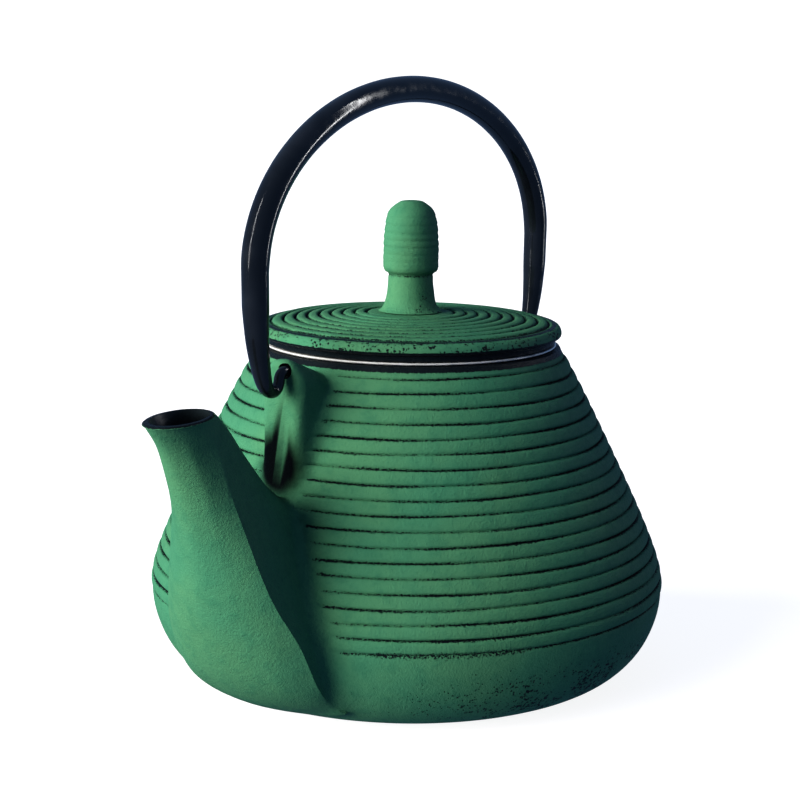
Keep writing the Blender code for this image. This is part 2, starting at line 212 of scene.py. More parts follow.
LID_LAST_ROW = 0.0464
LID_BULGE = 0.00046
LID_SEGMENTS = 256

# Knob
CAP_R = 0.00885
CAP_FOOT_Z = 0.1300
STEM_R = 0.0072
KNOB_FOOT_R = 0.0102
KNOB_SEGMENTS = 96
# Notches between the ribs: height in metres, depth in mm
KNOB_NOTCHES = ((0.1478, 0.08), (0.1452, 0.15), (0.1427, 0.17), (0.1405, 0.16), (0.1383, 0.14),
                (0.1360, 0.08), (0.1338, 0.05))
NOTCH_HALF = 0.00032
RIB_ABOVE = 0.0009
RIB_HALF = 0.0006

# Screw and washer
SHANK_R = 0.0018
THREAD_DEPTH = 0.0003
THREAD_STEP = 0.00035
HEAD_HEIGHT = 0.0010
RECESS_SIZE = (0.0044, 0.0009, 0.0024)
WASHER_EDGE = 0.00015

# Bail: hook points are distance from the middle, height over the hinge, share of the radius
BAIL_R = 0.00415
BAIL_SEGMENTS = 32
ARCH_POINTS = 121
BAIL_HALF_WIDTH = 0.0805
BAIL_WIDEST_H = 0.0300
BAIL_TOP_H = 0.0810
HOOK_POINTS = (
    (0.0615, 0.0000, 0.38), (0.0640, 0.0000, 0.38), (0.0672, -0.0002, 0.39),
    (0.0688, -0.0012, 0.39), (0.0693, -0.0030, 0.40), (0.0701, -0.0046, 0.41),
    (0.0718, -0.0055, 0.42), (0.0740, -0.0050, 0.48), (0.0760, -0.0030, 0.56),
    (0.0774, 0.0005, 0.65), (0.0788, 0.0060, 0.75), (0.0797, 0.0120, 0.85),
    (0.0803, 0.0200, 0.94),
)

# Infuser
SHEET = 0.0006
COLLAR_R = 0.0382
SHEET_ROUND = 0.0008
BASKET_BEND_Z = 0.0954
BASKET_FOOT_R = 0.0350
FOOT_LIP_R = 0.0300
WALL_COLUMNS = 180
WALL_ROWS = 36
WALL_WIRE = 0.00042
FLOOR_PITCH = 0.0012
FLOOR_WIRE = 0.00036
WIRE_INSET = 0.00025

# Photograph's viewpoint
CAMERA_AZIMUTH = math.radians(-56.5)
CAMERA_ELEVATION = math.radians(10.443)
CAMERA_ROLL = math.radians(0.75)
CAMERA_DISTANCE = 0.59207
CAMERA_SIDE = -0.00291
CAMERA_AIM_Z = 0.08824
CAMERA_LENS = 82.18
SENSOR = 36.0

# Studio: direction of the key from the camera, its softness, and the brightness behind
KEY_TURN = math.radians(62)
KEY_RISE = math.radians(15)
KEY_SOFTNESS = math.radians(58)
KEY_STRENGTH = 9.8
KEY_COLOUR = (1.0, 0.97, 0.89)
# Strip softboxes: turn to the left of the camera, rise, width, power
STRIPS = ((math.radians(48), math.radians(24), 0.022, 1.9),
          (math.radians(-104), math.radians(20), 0.04, 2.0))
STRIP_LENGTH = 0.9
STRIP_DISTANCE = 0.9
STRIP_AIM_Z = 0.11
BACKDROP = 1.0
FILL_COLOUR = (0.34, 0.56, 1.0, 1)
FILL_STRENGTH = 0.30
FLOOR_TONES = ((0.36, 0.34, 0.35), (0.38, 0.36, 0.37))
FLOOR_GLOW = 0.74
FLOOR_R = 3.0
FLOOR_TOP_Z = -0.0002

# Paints and metals, linear colour
GREEN = (0.045, 0.158, 0.090)
GREEN_WARM = (0.059, 0.170, 0.089)
GREEN_DEEP = (0.020, 0.106, 0.064)
GREEN_LIGHT = (0.085, 0.205, 0.112)
IRON_BLACK = (0.006, 0.009, 0.011)
ENAMEL_BLACK = (0.004, 0.005, 0.007)
STEEL = (0.90, 0.90, 0.89)


# ---------------- curves and meshes

def smooth_curve(points, steps, closed=False):
    """Points along the even Catmull-Rom curve through the given ones."""
    p = np.array(points, float)
    if closed:
        p = np.vstack([p[-1:], p, p[:2]])
    else:
        p = np.vstack([2 * p[0] - p[1], p, 2 * p[-1] - p[-2]])
    t = (np.arange(steps) / steps)[:, None]
    out = []
    for i in range(1, len(p) - 2):
        a, b, c, d = p[i - 1], p[i], p[i + 1], p[i + 2]
        out.append(0.5 * (2 * b + (c - a) * t + (2 * a - 5 * b + 4 * c - d) * t ** 2
                          + (3 * b - a - 3 * c + d) * t ** 3))
    if not closed:
        out.append(p[-2:-1])
    return np.vstack(out)


def smooth_step(low, high, value):
    """From 0 at low to 1 at high, with soft ends. low may be the larger one."""
    t = np.clip((value - low) / (high - low), 0, 1)
    return t * t * (3 - 2 * t)


def make_mesh(name, vertices, faces, attributes=None, fix_normals=True):
    """A mesh with smooth shading and optional point attributes."""
    mesh = bpy.data.meshes.new(name)
    mesh.from_pydata(np.asarray(vertices, float).tolist(), [], faces)
    for key, values in (attributes or {}).items():
        mesh.attributes.new(key, "FLOAT", "POINT").data.foreach_set("value", values)
    if fix_normals:
        data = bmesh.new()
        data.from_mesh(mesh)
        bmesh.ops.recalc_face_normals(data, faces=data.faces)
        data.to_mesh(mesh)
        data.free()
    mesh.shade_smooth()
    return mesh


def add_object(name, mesh, materials=()):
    """An object in the scene that holds a mesh with the given materials."""
    obj = bpy.data.objects.new(name, mesh)
    bpy.context.scene.collection.objects.link(obj)
    for material in materials:
        mesh.materials.append(material)
    return obj


def band_faces(rows, columns, closed_rows=False):
    """Quads over a grid of rows that each close on themselves."""
    faces = []
    for r in range(rows if closed_rows else rows - 1):
        a, b = r * columns, ((r + 1) % rows) * columns
        for c in range(columns):
            n = (c + 1) % columns
            faces.append((a + c, a + n, b + n, b + c))
    return faces


def revolve(name, profile, segments, closed=False, attributes=None):
    """Turn an outline of (radius, height) rows round +Z. Rows may hold one value a column.

    An open outline gets a flat cap at each end.
    """
    angle = np.arange(segments) * 2 * math.pi / segments
    radius = np.array([np.broadcast_to(r, segments) for r, _ in profile], float)
    height = np.array([np.broadcast_to(z, segments) for _, z in profile], float)
    xyz = np.stack([radius * np.cos(angle), radius * np.sin(angle), height], -1)
    faces = band_faces(len(profile), segments, closed)
    if not closed:
        faces.append(tuple(range(segments)))
        faces.append(tuple(range((len(profile) - 1) * segments, len(profile) * segments)))
    return make_mesh(name, xyz.reshape(-1, 3), faces, attributes)


def skin(name, rings):
    """Skin a stack of rings of equal count and close both ends."""
    count = len(rings[0])
    faces = band_faces(len(rings), count)
    faces.append(tuple(range(count)))
    faces.append(tuple(range((len(rings) - 1) * count, len(rings) * count)))
    return make_mesh(name, np.vstack(rings), faces)


def combine(obj, other, operation):
    """Apply a boolean with another object, which is then removed."""
    modifier = obj.modifiers.new(operation, "BOOLEAN")
    modifier.operation = operation
    modifier.object = other
    modifier.solver = "MANIFOLD"
    apply_modifiers(obj)
    bpy.data.objects.remove(other)


def apply_modifiers(obj):
    """Replace an object's mesh with what its modifiers make of it."""
    bpy.context.view_layer.update()
    evaluated = obj.evaluated_get(bpy.context.evaluated_depsgraph_get())
    made = bpy.data.meshes.new_from_object(evaluated)
    obj.modifiers.clear()
    old = obj.data
    obj.data = made
    made.name = old.name
    bpy.data.meshes.remove(old)


def read_points(mesh):
    """The vertices of a mesh as rows of x, y, z."""
    points = np.zeros(len(mesh.vertices) * 3, np.float32)
    mesh.vertices.foreach_get("co", points)
    return points.reshape(-1, 3).astype(float)


def finish_piece(obj, body, slot, *replaced):
    """Hang a piece on its body's empty and hide the CAD nodes it stands for. The slot is not
    used.
    """
    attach(obj, body)
    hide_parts(*replaced)
    return obj


# ---------------- pot

def outline(points, steps=16):
    """Fine (radius, height) outline and its outward normals."""
    curve = smooth_curve(points, steps)
    along = np.gradient(curve, axis=0)
    along /= np.linalg.norm(along, axis=1)[:, None]
    return curve, np.stack([-along[:, 1], along[:, 0]], -1)


POT_CURVE, POT_NORMALS = outline(CONE_AND_BELLY)


def pot_radius(height):
    """Outer radius of the plain pot at a height."""
    return np.interp(height, POT_CURVE[::-1, 1], POT_CURVE[::-1, 0])


def groove_centre(index, angle):
    """Height of one groove, which wanders a little as it goes round."""
    wander = 0.11 * np.sin(3 * angle + 1.7 * index) + 0.07 * np.sin(8 * angle + 2.9 * index)
    return GROOVE_TOP_Z - index * GROOVE_PITCH + wander * MM


def pot_rows():
    """Heights of the mesh rows from the shoulder to the base."""
    heights = list(SHOULDER_ROWS)
    for index in range(GROOVES):
        heights += [GROOVE_TOP_Z - index * GROOVE_PITCH + row * MM for row in GROOVE_ROWS]
    last = heights[-1]
    share = np.sin(np.linspace(0, math.pi / 2, BASE_ROWS)[1:])
    return heights + list(last * (1 - share))


def from_lug(angle, radius):
    """Sideways distance from the middle of the nearer lug."""
    return np.abs(radius * np.sin(angle) - LUG_OFFSET * np.where(np.cos(angle) < 0, 1, -1))


def lug_swell(angle, radius, height):
    """How far the fillets beside the lugs lift the pot's surface at one height."""
    stand = LUG_FACE_X - radius
    if stand < LUG_LEAST_STAND or height > LUG_SWELL_TOP_Z:
        return 0 * angle
    reach = min(LUG_FILLET, 0.8 * stand)
    share = np.clip(1 - (from_lug(angle, radius) - LUG_HALF) / reach, 0, 1)
    fade = smooth_step(LUG_SWELL_TOP_Z, LUG_SWELL_FULL_Z, height)
    fade = fade * smooth_step(*LUG_SWELL_LOW_Z, height)
    return reach * (1 - np.sqrt(1 - share ** 2)) * fade


def turned_pot(groove_start):
    """The pot's outside as a solid, with its grooves.

    groove_start(height) is the angle from -X within which the surface stays plain.
    """
    angle = np.arange(POT_SEGMENTS) * 2 * math.pi / POT_SEGMENTS
    from_spout = np.abs(np.arctan2(np.sin(angle), -np.cos(angle)))
    profile = list(RIM_OUTLINE)
    grooves = [np.zeros(POT_SEGMENTS) for _ in profile]
    for height in pot_rows():
        radius = pot_radius(height)
        normal = [np.interp(height, POT_CURVE[::-1, 1], POT_NORMALS[::-1, k]) for k in (0, 1)]
        mask = smooth_step(*(groove_start(height) + past for past in GROOVE_START), from_spout)
        if height > GROOVE_LUG_Z:
            mask = mask * smooth_step(*(LUG_HALF + past for past in GROOVE_LUG_START),
                                      from_lug(angle, radius))
        index = round((GROOVE_TOP_Z - height) / GROOVE_PITCH)
        depth = paint = np.zeros(POT_SEGMENTS)
        if 0 <= index < GROOVES:
            away = (height - groove_centre(index, angle)) / GROOVE_HALF
            vary = 0.82 + 0.18 * np.sin(5 * angle + 2.3 * index)
            depth = np.exp(-away ** 2) * vary * mask
            ragged = np.where(away < 0, 0.52, 0.95) * away
            paint = np.exp(-ragged ** 2) * vary * mask
        phase = (GROOVE_TOP_Z - height) / GROOVE_PITCH
        inside = 0 < phase < GROOVES - 1
        bulge = mask * math.sin(math.pi * (phase % 1) ** 0.8) ** 0.6 if inside else 0 * mask
        push = bulge * BAND_BULGE - depth * GROOVE_DEPTH
        swell = lug_swell(angle, radius, height)
        profile.append((radius + swell + push * normal[0], height + push * normal[1]))
        grooves.append(paint)
    profile.append((AXIS_R, 0.0))
    grooves.append(np.zeros(POT_SEGMENTS))
    return revolve("pot_body", profile, POT_SEGMENTS,
                   attributes={"groove": np.concatenate(grooves)})


def fillet_offset(beyond, radius):
    """How far a quarter-round fillet stands out, at a distance beyond the pot's surface."""
    share = np.clip(1 - beyond / radius, 0, 1)
    return radius * (1 - np.sqrt(1 - share ** 2))


def ring_normals(ring):
    """Outward normals of a ring of points in the plane."""
    along = np.roll(ring, -1, axis=0) - np.roll(ring, 1, axis=0)
    along /= np.linalg.norm(along, axis=1)[:, None] + 1e-12
    return np.stack([along[:, 1], -along[:, 0]], -1)


def section(station, edge=0.0, ridge=0.0, counts=(8, 8, 18, 8)):
    """One level ring of the spout, as (distance, side) points.

    edge and ridge, from 0 to 1, say how crisp the corner at the widest point and the
    ridge beside the front are.
    """
    _, back, widest, front, half, front_half, back_half = station
    front_corner = front - CORNER * (front - widest)
    back_corner = back + CORNER * (widest - back)
    corners = np.array([
        (front, 0), (front_corner, front_half), (widest, half), (back_corner, back_half),
        (back, 0), (back_corner, -back_half), (widest, -half), (front_corner, -front_half)])
    crisp = (0, ridge, edge, 0, 0, 0, edge, ridge)
    points = []
    for i in range(8):
        a, b = corners[i], corners[(i + 1) % 8]
        before, after = corners[i - 1], corners[(i + 2) % 8]
        leave = (1 - crisp[i]) * (b - before) / 2 + crisp[i] * (b - a)
        arrive_crisp = crisp[(i + 1) % 8]
        arrive = (1 - arrive_crisp) * (after - a) / 2 + arrive_crisp * (b - a)
        count = (counts + counts[::-1])[i]
        t = (np.arange(count) / count)[:, None]
        points.append((2 * t ** 3 - 3 * t ** 2 + 1) * a + (t ** 3 - 2 * t ** 2 + t) * leave
                      + (3 * t ** 2 - 2 * t ** 3) * b + (t ** 3 - t ** 2) * arrive)
    return np.vstack(points)


def spout_ring(station):
    """One ring of the spout's outside, flared into a fillet where it meets the pot."""
    height = station[0]
    edge = 0.85 * smooth_step(0.096, 0.088, height) * smooth_step(0.006, 0.022, height)
    ridge = 0.28 * smooth_step(0.098, 0.090, height) * smooth_step(0.045, 0.065, height)
    ring = section(station, edge, ridge)
    beyond = np.linalg.norm(ring, axis=1) - pot_radius(height)
    fade = smooth_step(0.002, 0.010, height)
    return ring + ring_normals(ring) * (fillet_offset(beyond, SPOUT_FILLET) * fade)[:, None]


def level_ring(ring, height):
    """A ring of the spout in space. Near the mouth it rises towards the pot."""
    share = smooth_step(MOUTH_TILT_Z, POT_MOUTH_Z, height)
    rise = MOUTH_TILT * share * (MOUTH_FRONT - ring[:, 0])
    return np.column_stack([-ring[:, 0], ring[:, 1], height + rise])


def make_spout():
    """The spout's outside as a solid with a rounded lip."""
    stations = smooth_curve(SPOUT_STATIONS, 6)
    rings = [level_ring(spout_ring(s), s[0]) for s in stations[1:]]
    top = spout_ring(stations[0])
    inward = -ring_normals(top)
    lip = []
    for turn in np.linspace(math.pi / 2, 0, 5):
        inset = SPOUT_LIP * (1 - math.cos(turn))
        drop = SPOUT_LIP * (1 - math.sin(turn))
        lip.append(level_ring(top + inward * inset, stations[0][0] - drop))
    return add_object("spout", skin("spout", lip + rings))


def make_bore():
    """The passage through the spout, with a small flare at the mouth."""
    rings = []
    for station in smooth_curve(BORE_STATIONS, 4):
        ring = section(station, counts=(6, 6, 8, 6))
        below = min(station[0] - POT_MOUTH_Z, 0.0)
        flare = BORE_FLARE * float(np.exp(below / BORE_FLARE_FADE))
        rings.append(level_ring(ring + ring_normals(ring) * flare, station[0]))
    return add_object("bore", skin("bore", rings))


def ear_outline(inset, drop):
    """Outline of a lug seen from the spout, as (side, height): upright sides, round top."""
    half = LUG_HALF - inset
    middle = LUG_TOP_Z - LUG_HALF - drop
    dome = [(half * math.cos(a), middle + half * math.sin(a))
            for a in np.linspace(0, math.pi, 33)]
    right = [(half, z) for z in np.linspace(LUG_FOOT_Z - drop, middle, 17)[:-1]]
    left = [(-y, z) for y, z in right[::-1]]
    return right + dome + left


def make_lug(side):
    """One lug: an ear with soft edges, which rises outwards from the shoulder."""
    rounding = np.linspace(0, math.pi / 2, 10)
    depths = [(x, 0.0) for x in np.linspace(LUG_ROOT_X, LUG_FACE_X - LUG_CORNER, 16)]
    depths += [(LUG_FACE_X - LUG_CORNER * (1 - math.sin(a)), LUG_CORNER * (1 - math.cos(a)))
               for a in rounding[1:]]
    depths += [(LUG_FACE_X, LUG_CORNER + margin) for margin in (0.0006, 0.0014)]
    rings = []
    for x, inset in depths:
        drop = LUG_RISE * (LUG_FACE_X - x) / (LUG_FACE_X - LUG_ROOT_X)
        rings.append(np.array([(side * x, y - side * LUG_OFFSET, z)
                               for y, z in ear_outline(inset, drop)]))
    return add_object("lug", skin("lug", rings))


def make_hole(side):
    """The blind hole in a lug that takes the bail's hook."""
    turns = np.arange(HOLE_SEGMENTS) * 2 * math.pi / HOLE_SEGMENTS
    rings = []
    for x, r in ((LUG_FACE_X + 0.002, HOLE_FLARE_R), (LUG_FACE_X, HOLE_FLARE_R),
                 (LUG_FACE_X - 0.0004, HOLE_R), (LUG_FACE_X - HOLE_DEPTH, HOLE_R)):
        rings.append(np.column_stack([np.full(HOLE_SEGMENTS, side * x), r * np.cos(turns),
                                      HINGE_Z + r * np.sin(turns)]))
    return add_object("hole", skin("hole", rings))


def make_cavity():
    """The hollow inside the pot, as a solid to cut with."""
    wall = [tuple(p) for p in smooth_curve(INNER_WALL, 4)]
    profile = [*NECK_OUTLINE, *wall, (AXIS_R, FLOOR_THICKNESS)]
    return add_object("cavity", revolve("cavity", profile, CAVITY_SEGMENTS))


def plain_angle():
    """A function of the height: the angle from -X that the spout's root covers there."""
    heights, angles = [], []
    for station in smooth_curve(SPOUT_STATIONS, 6):
        ring = spout_ring(station)
        reach = np.linalg.norm(ring, axis=1)
        outside = reach > pot_radius(station[0]) - 0.0004
        near = outside & (reach < pot_radius(station[0]) + 0.006)
        spread = np.abs(np.arctan2(ring[:, 1], ring[:, 0]))[near]
        heights.append(station[0])
        angles.append(spread.max() if len(spread) else 0.0)
    heights, angles = np.array(heights)[::-1], np.array(angles)[::-1]

    def angle_at(height):
        return float(np.interp(height, heights, angles))
    return angle_at


def soften_seams(obj):
    """Smooth the mesh close to where faces with different tags meet."""
    data = bmesh.new()
    data.from_mesh(obj.data)
    bmesh.ops.remove_doubles(data, verts=data.verts, dist=MERGE_DISTANCE)
    near = {v for v in data.verts if len({f.material_index for f in v.link_faces}) > 1}
    front = set(near)
    for _ in range(SEAM_RINGS):
        front = {e.other_vert(v) for v in front for e in v.link_edges} - near
        front = {v for v in front
                 if any(e.calc_length() < SEAM_REACH and e.other_vert(v) in near
                        for e in v.link_edges)}
        near |= front
    verts = [v for v in near if v.co.z < LUG_TOP_Z - SEAM_BELOW_TOP]
    for _ in range(SEAM_ROUNDS):
        bmesh.ops.smooth_vert(data, verts=verts, factor=0.5,
                              use_axis_x=True, use_axis_y=True, use_axis_z=True)
    data.to_mesh(obj.data)
    data.free()


def tag_faces(obj, tags, tag):
    """Give an object the tag materials and mark all its faces with one of them."""
    for material in tags:
        obj.data.materials.append(material)
    obj.data.polygons.foreach_set("material_index", [tag] * len(obj.data.polygons))


def make_pot(green, enamel):
    """The pot with spout, lugs, hollow, passage and hook holes.

    The tags tell after the booleans which faces were cut, and so are black.
    """
    tags = [bpy.data.materials.new(name) for name in ("tag_body", "tag_added", "tag_cut")]
    pot = add_object("pot_shell", turned_pot(plain_angle()), tags)
    for added in (make_spout(), make_lug(-1), make_lug(1)):
        added.data.attributes.new("groove", "FLOAT", "POINT")
        tag_faces(added, tags, ADDED_TAG)
        combine(pot, added, "UNION")
    soften_seams(pot)
    for cutter in (make_cavity(), make_bore(), make_hole(-1), make_hole(1)):
        tag_faces(cutter, tags, CUT_TAG)
        combine(pot, cutter, "DIFFERENCE")
    mesh = pot.data
    tag_of = np.zeros(len(mesh.polygons), np.int32)
    mesh.polygons.foreach_get("material_index", tag_of)
    mesh.materials.clear()
    for material in (green, enamel):
        mesh.materials.append(material)
    mesh.polygons.foreach_set("material_index", (tag_of == CUT_TAG).astype(np.int32))
    for tag in tags:
        bpy.data.materials.remove(tag)
    wear_pot(mesh)
    shade_with_edges(mesh, 40)
    return finish_piece(pot, "pot", "green_iron", "pot_body")


def wear_pot(mesh):
    """Store where the green is worn off or pitted, and the painted shade that darkens the hollow
    by the spout.
    """
    x, y, z = read_points(mesh).T
    turn = np.arctan2(-y, -x)
    rim = (smooth_step(SHOULDER_Z - 0.0010, SHOULDER_Z + 0.0006, z)
           * smooth_step(0.0496, 0.0490, np.hypot(x, y)))
    mouth = z - MOUTH_TILT * (MOUTH_FRONT + x)
    lip = (0.9 * smooth_step(POT_MOUTH_Z - 0.0010, POT_MOUTH_Z, mouth)
           * smooth_step(0.090, 0.094, -x))
    last = GROOVE_TOP_Z - (GROOVES - 1) * GROOVE_PITCH
    worn_band = (0.56 * np.exp(-((z - last + 0.0002) / 0.0021) ** 2)
                 * smooth_step(0.36, 0.50, turn) * smooth_step(1.5, 0.9, turn))
    low = smooth_step(0.030, 0.014, z) * (0.35 + 0.65 * smooth_step(0.3, 1.2, turn))
    base = smooth_step(0.006, 0.0, z)
    # painted shade: a soft blob that darkens the hollow between the front lug and the spout
    hollow = np.exp(-sum(((along - middle) / reach) ** 2
                         for along, middle, reach in zip((x, y, z), HOLLOW_SHADE_CENTRE, HOLLOW_SHADE_REACH)))
    set_attribute(mesh, "bare", np.maximum(np.maximum(rim, lip), worn_band))
    set_attribute(mesh, "pitted", np.maximum(low, base))
    set_attribute(mesh, "hollow_shade", hollow)


def set_attribute(mesh, name, values):
    """Store one value a vertex, for the materials to read."""
    layer = mesh.attributes.get(name) or mesh.attributes.new(name, "FLOAT", "POINT")
    layer.data.foreach_set("value", np.asarray(values, np.float32))


def shade_with_edges(mesh, degrees):
    """Smooth shading, with edges sharper than the angle kept crisp."""
    mesh.shade_smooth()
    mesh.set_sharp_from_angle(angle=math.radians(degrees))


# ---------------- lid and knob

def make_lid(green, enamel):
    """The domed lid with its rings, rounded edge and skirt."""
    dome, _ = outline(LID_DOME, 24)
    radii = list(LID_FIRST_ROWS)
    for index in range(LID_GROOVES):
        centre = LID_GROOVE_R + index * LID_GROOVE_PITCH
        radii += [centre + row * MM for row in LID_GROOVE_ROWS]
    radii = [r for r in radii if r < LID_LAST_ROW] + [LID_BAND_R]
    angle = np.arange(LID_SEGMENTS) * 2 * math.pi / LID_SEGMENTS
    profile = [(SCREW_HOLE_R, LID_CROWN_Z), (0.0095, LID_CROWN_Z)]
    grooves = [np.zeros(LID_SEGMENTS) for _ in profile]
    for r in radii:
        z = np.interp(r, dome[:, 0], dome[:, 1])
        phase = (r - LID_GROOVE_R) / LID_GROOVE_PITCH
        index = round(phase)
        wander = (0.06 * np.sin(3 * angle + 2.1 * index) + 0.04 * np.sin(7 * angle + index)) * MM
        away = (r - LID_GROOVE_R - index * LID_GROOVE_PITCH + wander) / LID_GROOVE_HALF
        vary = 1.0 + 0.1 * np.sin(4 * angle + index) if 0 <= index < LID_GROOVES else 0 * angle
        depth = np.exp(-away ** 2) * vary
        bulge = abs(math.sin(math.pi * phase)) ** 0.6 if 0 < phase < LID_GROOVES - 1 else 0.0
        profile.append((r, z + bulge * LID_BULGE - depth * LID_GROOVE_DEPTH))
        grooves.append(np.exp(-(0.62 * away) ** 2) * vary)
    rest = [tuple(p) for p in smooth_curve(LID_EDGE, 3)[1:]] + list(LID_UNDERSIDE)
    profile += rest
    grooves += [np.zeros(LID_SEGMENTS) for _ in rest]
    mesh = revolve("lid_shell", profile, LID_SEGMENTS, closed=True,
                   attributes={"groove": np.concatenate(grooves)})
    x, y, z = read_points(mesh).T
    radius = np.hypot(x, y)
    underside = smooth_step(0.1118, 0.1108, z)
    worn = 0.74 * np.exp(-((radius - 0.0463) / 0.0013) ** 2) * (z > 0.112)
    rubbed = 0.39 * smooth_step(0.018, 0.034, radius) * (z > 0.112)
    set_attribute(mesh, "bare", np.maximum(np.maximum(underside, worn), rubbed))
    set_attribute(mesh, "pitted", 0.40 + 0.5 * smooth_step(0.044, 0.047, radius))
    shade_with_edges(mesh, 40)
    lid = add_object("lid_shell", mesh, (green, enamel))
    mesh.polygons.foreach_set("material_index", [int(below_lid(p)) for p in mesh.polygons])
    return finish_piece(lid, "lid", "green_iron", "lid")


def below_lid(face):
    """Whether a face of the lid is on its black underside."""
    radius = math.hypot(face.center.x, face.center.y)
    return (face.center.z < LID_REST_Z + 0.0001 or (face.normal.z < -0.5 and radius < 0.036)
            or (face.center.z < LID_UNDER_Z - 0.0001 and radius < 0.0345))


def make_knob(green):
    """The tall ribbed knob on its waisted stem."""
    top = [(0.0006, KNOB_HIGH.z), (0.0022, KNOB_HIGH.z - 0.0001), (0.0040, KNOB_HIGH.z - 0.0006),
           (0.0070, KNOB_HIGH.z - 0.0031), (0.0082, KNOB_HIGH.z - 0.0068),
           (CAP_R - 0.0001, KNOB_HIGH.z - 0.0125), (CAP_R, KNOB_HIGH.z - 0.0170),
           (CAP_R, CAP_FOOT_Z + 0.0018)]
    cap = smooth_curve(top, 14)
    ribbed = []
    for r, z in cap:
        push = 0.0
        for notch, depth in KNOB_NOTCHES:
            push -= depth * MM * math.exp(-((z - notch) / NOTCH_HALF) ** 2)
            push += 0.45 * (depth * MM) * math.exp(-((z - notch - RIB_ABOVE) / RIB_HALF) ** 2)
        ribbed.append((r + push * smooth_step(0.002, 0.006, r), z))
    lower = [(CAP_R - 0.0002, CAP_FOOT_Z + 0.0010), (CAP_R - 0.0006, CAP_FOOT_Z + 0.0003),
             (CAP_R - 0.0012, CAP_FOOT_Z), (STEM_R + 0.0001, CAP_FOOT_Z - 0.0003),
             (STEM_R - 0.0002, CAP_FOOT_Z - 0.0008), (STEM_R, CAP_FOOT_Z - 0.0014)]
    stem = smooth_curve([(STEM_R, CAP_FOOT_Z - 0.0030), (0.0074, 0.1250), (0.0078, 0.1220),
                         (0.0084, 0.1198), (0.0092, 0.1184), (KNOB_FOOT_R, KNOB_LOW.z)], 5)
    bore = [(SCREW_HOLE_R, KNOB_LOW.z), (SCREW_HOLE_R, SCREW_HIGH.z + 0.0003),
            (0.0003, SCREW_HIGH.z + 0.0003)]
    profile = ribbed + lower + [tuple(p) for p in stem] + bore
    angle = np.arange(KNOB_SEGMENTS) * 2 * math.pi / KNOB_SEGMENTS
    profile = [(r + 0.00004 * np.sin(3 * angle + 900 * z) * (r > 0.003), z) for r, z in profile]
    mesh = revolve("knob_cast", profile, KNOB_SEGMENTS)
    x, y, z = read_points(mesh).T
    undercut = 0.75 * np.exp(-((z - CAP_FOOT_Z + 0.0007) / 0.0007) ** 2)
    rib = sum(0.34 * np.exp(-((z - notch) / 0.0003) ** 2) for notch, _ in KNOB_NOTCHES)
    front = smooth_step(-0.005, 0.004, 0.55 * x - 0.83 * y)
    set_attribute(mesh, "groove", np.maximum(undercut, rib * (np.hypot(x, y) > 0.006)))
    set_attribute(mesh, "bare", np.zeros(len(z)))
    set_attribute(mesh, "pitted", 0.95 * smooth_step(0.130, 0.119, z) * front)
    shade_with_edges(mesh, 50)
    return finish_piece(add_object("knob_cast", mesh, (green,)), "lid", "green_iron", "lid_knob")


def make_fixings(steel):
    """The screw that holds the knob, with a thread and a cross recess, and its washer."""
    foot, head = SCREW_LOW.z, WASHER_LOW.z - 0.0003
    r, tip = SCREW_HIGH.x, SCREW_HIGH.z
    profile = [(0.0004, tip), (SHANK_R - 0.0005, tip), (SHANK_R, tip - 0.0006)]
    for z in np.arange(tip - 0.0010, head + 0.002, -THREAD_STEP):
        profile.append((SHANK_R - (THREAD_DEPTH if len(profile) % 2 else 0.0), z))
    profile += [(SHANK_R, head), (r - 0.0002, head), (r, head - 0.0002)]
    profile += [(r * math.cos(a), foot + HEAD_HEIGHT - HEAD_HEIGHT * math.sin(a))
                for a in np.linspace(0, 1.35, 8)]
    profile += [(0.0004, foot)]
    screw = add_object("screw_pan_head", revolve("screw_pan_head", profile, 48), (steel,))
    for turn in (0, 1):
        data = bmesh.new()
        bmesh.ops.create_cube(data, size=1, matrix=Matrix.Rotation(turn * math.pi / 2, 4, "Z")
                              @ Matrix.Diagonal((*RECESS_SIZE, 1)))
        bmesh.ops.translate(data, verts=data.verts, vec=(0, 0, foot))
        mesh = bpy.data.meshes.new("recess")
        data.to_mesh(mesh)
        data.free()
        combine(screw, add_object("recess", mesh, (steel,)), "DIFFERENCE")
    shade_with_edges(screw.data, 35)
    finish_piece(screw, "lid", "stainless_steel", "knob_screw")

    r, low, high, edge = WASHER_HIGH.x, WASHER_LOW.z, WASHER_HIGH.z, WASHER_EDGE
    ring = [(SCREW_HOLE_R + 0.0001, high), (r - edge, high), (r, high - edge), (r, low + edge),
            (r - edge, low), (SCREW_HOLE_R + edge, low), (SCREW_HOLE_R, low + edge),
            (SCREW_HOLE_R, high - 0.0001)]
    steel_ring("washer_flat", ring, 64, steel, "lid", "knob_washer")


def steel_ring(name, profile, segments, steel, body, node):
    """A turned ring of bright steel that stands for one CAD node."""
    obj = add_object(name, revolve(name, profile, segments, closed=True), (steel,))
    shade_with_edges(obj.data, 35)
    return finish_piece(obj, body, "stainless_steel", node)


# ---------------- bail

